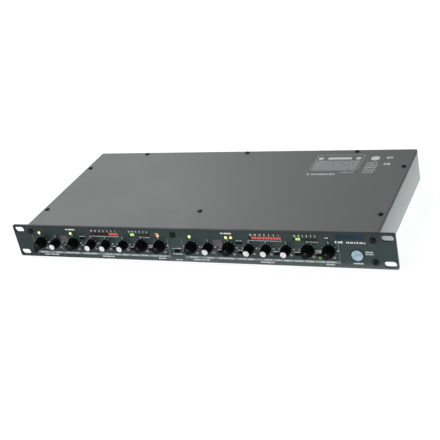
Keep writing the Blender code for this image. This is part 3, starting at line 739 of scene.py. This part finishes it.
def glyph(text):
    """A number one unit high as a closed mesh, made once."""
    if text not in glyphs:
        curve = bpy.data.curves.new("glyph", "FONT")
        curve.body = text
        curve.extrude = 0.5
        curve.offset = 0.02
        curve.resolution_u = 2
        curve.align_x = "CENTER"
        curve.align_y = "CENTER"
        helper = bpy.data.objects.new("glyph", curve)
        bpy.context.scene.collection.objects.link(helper)
        graph = bpy.context.evaluated_depsgraph_get()
        glyphs[text] = bpy.data.meshes.new_from_object(helper.evaluated_get(graph))
        bpy.data.objects.remove(helper)
    return glyphs[text]


def number(bm, text, x, y, size):
    """A printed number about its centre."""
    before = set(bm.verts)
    bm.from_mesh(glyph(text))
    made = [v for v in bm.verts if v not in before]
    ink = Matrix.Diagonal((size, size, INK_HIGH - INK_LOW, 1.0))
    lift = Matrix.Translation((x, y, (INK_HIGH + INK_LOW) / 2))
    bmesh.ops.transform(bm, matrix=lift @ ink, verts=made)
    bmesh.ops.remove_doubles(bm, verts=made, dist=1e-7)


def legend(bm, x, y, width, height=1.2 * MM, seed=0):
    """Small blocks where a printed word would stand, without its letters."""
    draw = random.Random(seed)
    at, end = x - width / 2, x + width / 2
    while at < end - 0.5 * height:
        wide = min(draw.uniform(0.55, 0.95) * height, end - at)
        tall = height * draw.choice((1.0, 1.0, 0.8))
        bar(bm, at + wide / 2, y + (tall - height) / 2, wide, tall)
        at += wide + draw.choice((0.25, 0.25, 0.25, 0.7)) * height


def dial(bm, x, y, radius, bare):
    """A knob's scale: eleven ticks through 300 degrees. Five are numbered, but not one at the angle bare."""
    names = {-150: "0", -90: "2", 0: "5", 90: "8", 150: "10"}
    for degrees in range(-150, 151, 30):
        turn = math.radians(degrees)
        c, s = math.cos(turn), math.sin(turn)
        bar(bm, x + (radius + 0.9 * MM) * s, y + (radius + 0.9 * MM) * c, 0.4 * MM, 1.0 * MM, turn)
        if degrees in names and degrees != bare:
            reach = radius + 2.8 * MM
            number(bm, names[degrees], x + reach * s, y + reach * c, 2.9 * MM)


def channel_print(light, bright, band, rose, channel):
    """One channel's scales, legends and section lines, placed from its controls."""
    first = centre(f"ch{channel}_expander_threshold_knob")
    left, knob_z = first.x, first.z

    for name in BIG_KNOBS + SMALL_KNOBS:
        low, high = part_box(f"ch{channel}_{name}_knob")
        bare = {"output_gain": 90, "limiter_threshold": -90}.get(name)
        dial(light, (low.x + high.x) / 2, knob_z, (high.z - low.z) / 2, bare)

    # The grey legend band under the knobs, a word in it for each control, and the section names below.
    start, end = left - 10.0 * MM, left + 175.0 * MM
    bar(band, (start + end) / 2, BAND_Z, end - start, 3.0 * MM)
    words = (0.0, 21.5, 36.4, 46.8, 60.8, 72.0, 92.3, 104.4, 116.0, 128.4, 141.0, 153.2, 164.8)
    for seed, offset in enumerate(words):
        legend(light, left + offset * MM, BAND_Z, 9.4 * MM, 1.5 * MM, seed)
    for seed, (offset, width) in enumerate(((9.0, 21.0), (91.5, 18.0), (164.5, 10.5)), 40):
        legend(light, left + offset * MM, SECTION_Z, width * MM, 1.7 * MM, seed)

    # Lines between the sections: how far right of the first knob, and the heights that they run between.
    rules = ((-11.2, 2.0, 31.0), (28.6, 1.8, 5.0), (28.6, 8.4, 17.0), (153.3, 1.8, 5.0), (175.8, 1.8, 31.0))
    for offset, low, high in rules:
        bar(band, left + offset * MM, (low + high) / 2 * MM, 0.45 * MM, (high - low) * MM)

    # Over the lamps, over and beside the buttons.
    legend(bright, left + 46.5 * MM, 39.6 * MM, 13.5 * MM, 1.7 * MM, 50)
    legend(light, left + 164.4 * MM, 36.9 * MM, 5.0 * MM, 1.4 * MM, 51)
    legend(light, left + 60.8 * MM, 30.4 * MM, 6.6 * MM, 1.3 * MM, 52)
    for seed, offset in enumerate((36.2, 60.8, 104.2, 128.2), 53):
        legend(light, left + offset * MM, 18.0 * MM, 7.5 * MM, 1.2 * MM, seed)
    for seed, (z, width) in enumerate(((20.4, 7.0), (18.0, 7.6)), 60):
        legend(bright, left + 153.2 * MM, z * MM, width * MM, 1.3 * MM, seed)

    # A ruled note between the expander and the compressor.
    frame_lines(rose, left + 28.8 * MM, left + 38.6 * MM, 22.6 * MM, 30.4 * MM, 0.45 * MM)
    for seed, z in enumerate((28.6, 26.5, 24.4), 70):
        legend(rose, left + 33.7 * MM, z * MM, 8.0 * MM, 1.4 * MM, seed)

    meter_print(bright, f"ch{channel}_gain_meter", ("30", "20", "12", "8", "6", "3", "1"), 0.0)
    meter_print(bright, f"ch{channel}_level_meter", ("20", "10", "5", "0", "3", "6"), 0.62)


def meter_print(bm, node, names, ruled_from):
    """Numbers over a meter and, from that share of its width on, a ruled line with ticks under it."""
    x, z, width, height = window(node)
    for i, text in enumerate(names):
        spot = x + width * ((i + 0.5) / len(names) - 0.5)
        number(bm, text, spot, z + height / 2 + 2.5 * MM, 2.6 * MM)
        bar(bm, spot, z + height / 2 + 0.75 * MM, 0.35 * MM, 0.6 * MM)
    under = z - height / 2 - 1.6 * MM
    start, end = x + width * (ruled_from - 0.5), x + width / 2
    bar(bm, (start + end) / 2, under, end - start, 0.35 * MM)
    ticks = 7 if ruled_from == 0 else 3
    for i in range(ticks + 1):
        bar(bm, start + (end - start) * i / ticks, under + 0.5 * MM, 0.3 * MM, 0.8 * MM)


def panel_print():
    """All that is printed on the front panel, one piece for each ink."""
    light, band, rose, bright, blue = (bmesh.new() for _ in range(5))
    for channel in CHANNELS:
        channel_print(light, bright, band, rose, channel)

    # Beside the link button, between the two channels.
    link = centre("stereo_link_button")
    for seed, (dz, width) in enumerate(((3.3, 12.0), (-4.3, 13.0), (-12.2, 9.5)), 80):
        legend(light, link.x, link.z + dz * MM, width * MM, 1.3 * MM, seed)

    # The badge corner: a blue strip, two groups of blocks in place of a name, and small notes.
    edge = PANEL_HIGH.x
    bar(blue, edge - 49.5 * MM, 38.7 * MM, 32.0 * MM, 6.6 * MM)
    legend(bright, edge - 61.0 * MM, 32.3 * MM, 11.0 * MM, 2.6 * MM, 90)
    legend(bright, edge - 43.4 * MM, 32.0 * MM, 20.6 * MM, 1.9 * MM, 91)
    legend(light, edge - 43.6 * MM, 6.2 * MM, 11.0 * MM, 1.8 * MM, 92)
    for seed, (z, width) in enumerate(((20.7, 8.6), (18.1, 9.4)), 93):
        legend(bright, edge - 29.8 * MM, z * MM, width * MM, 1.3 * MM, seed)

    inks = (("light", light, INK), ("band", band, BAND_INK), ("rose", rose, ROSE_INK))
    inks += (("bright", bright, BRIGHT_INK), ("blue", blue, BLUE_INK))
    for name, bm, ink in inks:
        at = FRONT @ UNDER if ink in (BAND_INK, BLUE_INK) else FRONT
        piece(f"panel_print_{name}", bm, "case", [ink], at)


def badge():
    """A plain round enamel badge in a dark-blue ring."""
    x, z = PANEL_HIGH.x - 43.8 * MM, 16.2 * MM
    bm = bmesh.new()
    levels = [(7.6 * MM, -0.01 * MM, 1), (7.6 * MM, 0.35 * MM, 1), (7.2 * MM, 0.5 * MM, 1)]
    levels += [(6.5 * MM, 0.5 * MM, 1), (6.4 * MM, 0.4 * MM, 0)]
    levels += [(5.0 * MM, 0.62 * MM), (3.0 * MM, 0.76 * MM), (1.0 * MM, 0.82 * MM)]
    ring_loft(bm, levels, 72)
    at = FRONT @ Matrix.Translation((x, z, 0))
    piece("round_badge", bm, "case", [ENAMEL, BLUE_INK], at)


def cover_print():
    """Plain blocks and lines where the cover's rating notes are printed, at its rear right."""
    bm, bold = bmesh.new(), bmesh.new()
    back = COVER_HIGH.y - 10.0 * MM
    x0, x1, y0, y1 = 101.0 * MM, 161.0 * MM, back - 58.0 * MM, back - 4.0 * MM
    bar(bm, (x0 + x1) / 2, y1, x1 - x0, 0.4 * MM)
    for x in (x0, x1):
        bar(bm, x, (y0 + y1) / 2 + 6.0 * MM, 0.4 * MM, y1 - y0 - 12.0 * MM)
    bar(bold, (x0 + x1) / 2 + 0.3 * MM, y1 - 10.0 * MM, 30.0 * MM, 5.6 * MM)
    for x in (x0 + 6.0 * MM, x1 - 6.0 * MM):
        disc(bold, x, y1 - 10.0 * MM, 3.4 * MM)
    for row in range(10):
        legend(bm, (x0 + x1) / 2, y1 - (17.0 + 2.7 * row) * MM, 56.0 * MM, 1.5 * MM, 100 + row)
    legend(bm, x0 + 19.0 * MM, y0 + 1.5 * MM, 38.0 * MM, 4.0 * MM, 120)
    legend(bm, x0 + 49.0 * MM, y0 + 6.5 * MM, 18.0 * MM, 2.0 * MM, 121)
    column = 176.0 * MM
    for row in range(7):
        legend(bm, column, y1 - (22.0 + 4.4 * row) * MM, 15.0 * MM, 2.0 * MM, 130 + row)
    disc(bold, column, y1 - 10.5 * MM, 5.6 * MM, 28)
    for seed, drop in ((83, 9.0), (66, 26.0)):
        legend(bold, 194.5 * MM, y1 - drop * MM, 9.5 * MM, 4.6 * MM, seed)
    piece("cover_print_notes", bm, "case", [COVER_INK], TOP)
    piece("cover_print_bold", bold, "case", [BRIGHT_INK], TOP)


# ---------------------------------------------------------------- rear
CONTACT_ANGLES = (210, 330, 90)
CONTACT_CIRCLE = 5.0 * MM


def xlr_sockets():
    """Four three-pole sockets, with fixing screws; the inputs have an insert with three sleeves."""
    for channel in CHANNELS:
        for way in ("input", "output"):
            node = f"ch{channel}_xlr_{way}"
            low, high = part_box(node)
            width, height = high.x - low.x, high.z - low.z
            face, deep = high.y - CASE_HIGH.y, high.y - low.y
            barrel, bore, wall = 11.5 * MM, 9.6 * MM, 4.0 * MM
            floor = face - deep + wall
            flange = slab(width, height, 3.0 * MM)
            levels = [
                (barrel, face - deep),
                (barrel, -0.4 * MM),
                (flange, 0.02 * MM),
                (flange, face - 0.5 * MM),
                (slab(width - 1.0 * MM, height - 1.0 * MM, 2.6 * MM), face - 0.05 * MM),
                (11.2 * MM, face - 0.05 * MM),
                (10.9 * MM, face),
                (bore + 0.3 * MM, face),
                (bore, face - 0.35 * MM),
                (bore, floor, 1),
            ]
            bm = bmesh.new()
            ring_loft(bm, levels, 96)
            at = REAR @ Matrix.Translation((-centre(node).x, centre(node).z, 0))
            shell = piece(f"{node}_shell", bm, "case", [BLACK_OXIDE, SOCKET_PLASTIC], at)
            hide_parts(node)
            if way == "input":
                xlr_insert(node, at, face, floor)
            contacts(node, at, face, floor, way)
            flange_screws(node, at, width, height, face)


def xlr_insert(node, at, face, floor):
    """The moulded block that holds a female socket's sleeves, with its keyway."""
    def keyed(radius):
        return lambda turn: radius - 0.9 * MM * max(0.0, math.cos(turn + math.pi / 2)) ** 24

    bm = bmesh.new()
    levels = [(keyed(6.8 * MM), floor - 0.2 * MM), (keyed(6.8 * MM), face - 1.5 * MM)]
    levels += [(keyed(6.4 * MM), face - 1.05 * MM)]
    ring_loft(bm, levels, 72)
    piece(f"{node}_insert", bm, "case", [SOCKET_PLASTIC], at)


def contacts(node, at, face, floor, way):
    """Three pins with round ends in an output, three sunk sleeves in an input."""
    tip, pin = face - 7.8 * MM, 1.22 * MM
    top = face - 1.0 * MM
    dome = [(pin * math.cos(t), tip + 0.8 * MM * math.sin(t)) for t in (0, 0.5, 1.0, 1.4)]
    sleeve = [(1.6 * MM, top - 1.0 * MM), (1.6 * MM, top + 0.04 * MM), (1.15 * MM, top + 0.04 * MM, 1)]
    sleeve += [(1.1 * MM, top - 8.0 * MM)]
    bm = bmesh.new()
    for angle in map(math.radians, CONTACT_ANGLES):
        spot = (CONTACT_CIRCLE * math.cos(angle), CONTACT_CIRCLE * math.sin(angle))
        ring_loft(bm, [(pin, floor)] + dome if way == "output" else sleeve, 24, spot)
    piece(f"{node}_contacts", bm, "case", [NICKEL, SOCKET_PLASTIC], at)


def flange_screws(node, at, width, height, face):
    """Two small cross-head screws, in opposite corners of a socket's flange."""
    bm = bmesh.new()
    inset = 3.4 * MM
    for side in (-1, 1):
        spot = (side * (width / 2 - inset), side * (height / 2 - inset))
        screw_body(bm, 2.3 * MM, 1.1 * MM, 1.2 * MM, 6.0 * MM, spot)
    lifted = at @ Matrix.Translation((0, 0, face - 0.06 * MM))
    piece(f"{node}_fixings", bm, "case", [NICKEL], lifted)


def jacks():
    """Quarter-inch sockets: a plate, a hexagon nut and a threaded nose round the plug's bore."""
    for channel in CHANNELS:
        node = f"ch{channel}_sidechain_jack"
        low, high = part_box(node)
        width, height = high.x - low.x, high.z - low.z
        nose, end = high.y - CASE_HIGH.y, low.y - CASE_HIGH.y
        plate, nut = 1.9 * MM, 3.9 * MM
        housing = slab(16.0 * MM, 16.0 * MM, 1.0 * MM)
        flange = slab(width, height, 3.0 * MM)
        hexagon = polygon(6, 8.0 * MM)
        levels = [
            (housing, end),
            (housing, 0.0),
            (flange, 0.02 * MM),
            (flange, plate - 0.4 * MM),
            (slab(width - 0.8 * MM, height - 0.8 * MM, 2.6 * MM), plate),
            (8.5 * MM, plate, 1),
            (polygon(6, 7.8 * MM), plate),
            (hexagon, plate + 0.25 * MM),
            (hexagon, nut - 0.45 * MM),
            (polygon(6, 7.5 * MM), nut),
            (5.6 * MM, nut),
        ]
        crest, root, pitch = 5.55 * MM, 5.25 * MM, 0.3 * MM
        thread = nut
        while thread + pitch < nose:
            levels += [(crest, thread + 0.01 * MM), (root, thread + pitch / 2)]
            thread += pitch
        bore, bottom = 3.3 * MM, -21.0 * MM
        levels += [(5.2 * MM, nose), (3.6 * MM, nose), (bore, nose - 0.3 * MM, 0), (bore, bottom)]
        bm = bmesh.new()
        ring_loft(bm, levels, 72)
        at = REAR @ Matrix.Translation((-centre(node).x, centre(node).z, 0))
        made = piece(f"{node}_body", bm, "case", [SOCKET_PLASTIC, NICKEL], at)
        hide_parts(node)
        flange_screws(node, at, width, height, plate)


def mains_blades():
    """The inlet's three blades, bright metal with chamfered ends, over the CAD's plain ones."""
    middle = centre("mains_inlet")
    socket_x = middle.x - 9.0 * MM
    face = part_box("mains_inlet")[1].y - CASE_HIGH.y
    blade, tip = slab(2.1 * MM, 4.1 * MM, 0.5 * MM), slab(1.2 * MM, 3.2 * MM, 0.4 * MM)
    levels = [(blade, face - 16.8 * MM), (blade, face - 4.4 * MM), (tip, face - 3.9 * MM)]
    bm = bmesh.new()
    for dx, dz in ((-7.0, -2.0), (7.0, -2.0), (0.0, 2.0)):
        ring_loft(bm, levels, 32, (-(socket_x + dx * MM), middle.z + dz * MM))
    piece("mains_inlet_blades", bm, "case", [TIN], REAR)


def hoop(bm, outer, inner, steps=24):
    """A flat printed ring about the middle."""
    turns = [2 * math.pi * i / steps for i in range(steps)]
    rings = []
    for radius, height in ((outer, INK_LOW), (outer, INK_HIGH), (inner, INK_HIGH), (inner, INK_LOW)):
        rings.append([bm.verts.new((radius * math.cos(t), radius * math.sin(t), height)) for t in turns])
    for lower, upper in zip(rings, rings[1:] + rings[:1]):
        for i in range(steps):
            j = (i + 1) % steps
            bm.faces.new((lower[i], lower[j], upper[j], upper[i]))


def rocker_marks():
    """A line on the half that switches on and a ring on the other, printed on the rocker's two faces."""
    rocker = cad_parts["power_rocker"]
    pivot = centre("power_rocker")
    for name, side in (("on", -1), ("off", 1)):
        faces = [p for p in rocker.data.polygons if p.normal.y > 0.5 and side * (p.center.z - pivot.z) > 0]
        area = sum(p.area for p in faces)
        out = sum((p.normal * p.area for p in faces), Vector()).normalized()
        spot = sum((p.center * p.area for p in faces), Vector()) / area
        right = Vector((-1, 0, 0))
        at = facing(right, out.cross(right), out, spot)
        bm = bmesh.new()
        if name == "on":
            bar(bm, 0, 0, 0.7 * MM, 3.6 * MM)
        else:
            hoop(bm, 1.8 * MM, 1.2 * MM)
        piece(f"rocker_mark_{name}", bm, "power_switch", [BRIGHT_INK], at)


def rear_print():
    """Plain blocks over the rear sockets, and a channel's number under each of its three-pole ones."""
    over, under = 39.4 * MM, 4.2 * MM
    bm = bmesh.new()
    for channel in CHANNELS:
        for seed, part in enumerate(("xlr_input", "xlr_output", "sidechain_jack"), 200):
            legend(bm, -centre(f"ch{channel}_{part}").x, over, 14.0 * MM, 1.5 * MM, seed)
        for part in ("xlr_input", "xlr_output"):
            number(bm, str(channel), -centre(f"ch{channel}_{part}").x, under, 3.4 * MM)
    legend(bm, -centre("mains_inlet").x, over, 26.0 * MM, 1.5 * MM, 210)
    piece("rear_print", bm, "case", [KNOB_PLASTIC], REAR)


# ---------------------------------------------------------------- stage
def studio():
    """A pale glowing floor under a soft sky that is brightest at the horizon, and four soft boxes."""
    bm = bmesh.new()
    bmesh.ops.create_grid(bm, x_segments=1, y_segments=1, size=12.0)
    mesh = bpy.data.meshes.new("floor")
    bm.to_mesh(mesh)
    bm.free()
    pale = surface("pale_floor", (0.42, 0.42, 0.42), (0.45, 0.45, 0.45), 0.7, mottle=2, grain=60)
    shader = pale.node_tree.nodes["Principled BSDF"]
    shader.inputs["Emission Color"].default_value = (1.0, 1.0, 1.0, 1.0)
    shader.inputs["Emission Strength"].default_value = 0.84
    mesh.materials.append(pale)
    floor = bpy.data.objects.new("floor", mesh)
    floor.location.z = cad_low.z - 0.3 * MM
    bpy.context.scene.collection.objects.link(floor)

    world = bpy.data.worlds.new("studio")
    world.use_nodes = True
    tree = world.node_tree
    upward = add(tree, "ShaderNodeSeparateXYZ", {0: add(tree, "ShaderNodeTexCoord").outputs["Generated"]})
    sky = tree.nodes["Background"]
    sky.inputs["Color"].default_value = (0.97, 0.99, 1.0, 1.0)
    tree.links.new(spread(tree, upward.outputs["Z"], 0.15, 0.5, 0.9, 0.18), sky.inputs["Strength"])
    bpy.context.scene.world = world

    soft_light("key", (-1.1, -1.5, 1.8), 0.6, 13.0)
    soft_light("back", (-0.8, 0.9, 0.95), 0.8, 6.6)
    soft_light("side", (1.9, 0.2, 0.9), 1.0, 4.2)
    soft_light("fill", (-0.45, -1.1, 0.10), 0.3, 0.9)


def soft_light(name, at, size, power):
    """A square soft box aimed at the middle of the object."""
    light = bpy.data.lights.new(name, "AREA")
    light.size, light.energy = size, power
    made = bpy.data.objects.new(name, light)
    made.location = at
    made.rotation_euler = (Vector((0, 0, MIDDLE_Z)) - Vector(at)).to_track_quat("-Z", "Y").to_euler()
    made.visible_camera = False
    bpy.context.scene.collection.objects.link(made)


def camera():
    """Three-quarter view from the front right and above, tipped a little to the right."""
    azimuth, elevation, roll = math.radians(27.70), math.radians(27.09), math.radians(12.38)
    lens = bpy.data.cameras.new("camera")
    lens.sensor_width, lens.lens = 36.0, 78.4
    made = bpy.data.objects.new("camera", lens)
    turn = Matrix.Rotation(azimuth, 4, "Z") @ Matrix.Rotation(math.pi / 2 - elevation, 4, "X")
    place = Matrix.Translation((0.4862, -0.9389, 0.5421))
    made.matrix_world = place @ turn @ Matrix.Rotation(-roll, 4, "Z")
    bpy.context.scene.collection.objects.link(made)
    bpy.context.scene.camera = made


def main():
    shells()
    screws()
    knobs()
    buttons()
    leds()
    meters()
    panel_print()
    badge()
    cover_print()
    xlr_sockets()
    jacks()
    mains_blades()
    rocker_marks()
    rear_print()
    studio()
    camera()
    bpy.context.scene.view_settings.view_transform = "Standard"


main()
